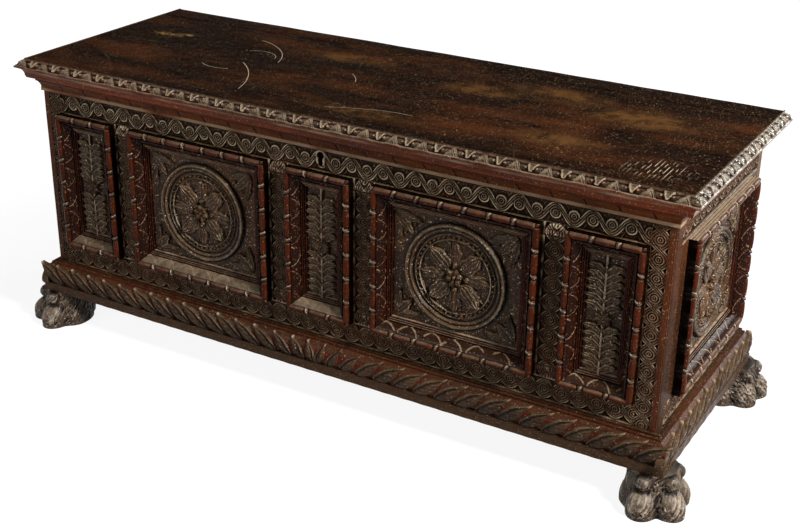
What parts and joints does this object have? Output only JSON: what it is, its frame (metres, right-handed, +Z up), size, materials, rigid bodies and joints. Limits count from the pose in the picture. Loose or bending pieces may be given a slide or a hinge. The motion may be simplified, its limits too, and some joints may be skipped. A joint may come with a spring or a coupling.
{
  "type": "cassone",
  "caption": "Long low walnut chest with a hinged board lid, framed and panelled carved front and ends, gadrooned plinth and lion's paw feet.",
  "frame": {"origin": "on the floor under the middle of the chest", "axes": "+X along the front to the right, +Y from the front to the back, +Z up"},
  "size_m": [1.5508, 0.6096, 0.606],
  "materials": {
    "carved_walnut": "carved walnut, waxed, dusty in the ground",
    "polished_walnut": "red-brown walnut, rubbed and waxed",
    "lid_walnut": "dark waxed walnut boards, worn and scratched",
    "foot_walnut": "carved walnut, dry and dusty",
    "plain_wood": "plain sawn and planed boards, aged",
    "wrought_iron": "hand-forged iron, dark"
  },
  "bodies": {
    "chest": {"back_board_lower": "plain_wood", "back_board_upper": "plain_wood", "bottom_board_front": "plain_wood", "bottom_board_rear": "plain_wood", "chest_nails": "wrought_iron", "cornice_front": "polished_walnut", "end_bottom_rail_left": "carved_walnut", "end_bottom_rail_right": "carved_walnut", "end_moulding_left": "polished_walnut", "end_moulding_right": "polished_walnut", "end_panel_left": "carved_walnut", "end_panel_right": "carved_walnut", "end_stile_front_left": "carved_walnut", "end_stile_front_right": "carved_walnut", "end_stile_rear_left": "carved_walnut", "end_stile_rear_right": "carved_walnut", "end_top_rail_left": "carved_walnut", "end_top_rail_right": "carved_walnut", "foot_front_left": "foot_walnut", "foot_front_right": "foot_walnut", "foot_pegs": "plain_wood", "foot_rear_left": "foot_walnut", "foot_rear_right": "foot_walnut", "front_bottom_rail": "carved_walnut", "front_moulding_1": "polished_walnut", "front_moulding_2": "polished_walnut", "front_moulding_3": "polished_walnut", "front_moulding_4": "polished_walnut", "front_moulding_5": "polished_walnut", "front_muntin_1": "carved_walnut", "front_muntin_2": "carved_walnut", "front_muntin_3": "carved_walnut", "front_muntin_4": "carved_walnut", "front_panel_1": "carved_walnut", "front_panel_2": "carved_walnut", "front_panel_3": "carved_walnut", "front_panel_4": "carved_walnut", "front_panel_5": "carved_walnut", "front_stile_left": "carved_walnut", "front_stile_right": "carved_walnut", "front_top_rail": "carved_walnut", "hinge_leaves": "wrought_iron", "hinge_pins": "wrought_iron", "lock_case": "wrought_iron", "lock_plate": "wrought_iron", "plinth_back": "plain_wood", "plinth_front": "carved_walnut", "plinth_left": "carved_walnut", "plinth_right": "carved_walnut"},
    "lid": {"hinge_straps": "wrought_iron", "lid_board_front": "lid_walnut", "lid_board_rear": "lid_walnut", "lid_edge_front": "carved_walnut", "lid_edge_left": "carved_walnut", "lid_edge_right": "carved_walnut", "lid_nails": "wrought_iron", "lock_staple": "wrought_iron"},
    "bolt": {"lock_bolt": "wrought_iron"}
  },
  "joints": [
    {"name": "lid_hinge", "type": "hinge", "parent": "chest", "child": "lid", "pos_m": [0, 0.244, 0.5709], "axis": [-1, 0, 0], "range_deg": [0, 100]},
    {"name": "bolt_slide", "type": "slide", "parent": "chest", "child": "bolt", "axis": [1, 0, 0], "range_m": [0, 0.016]}
  ]
}
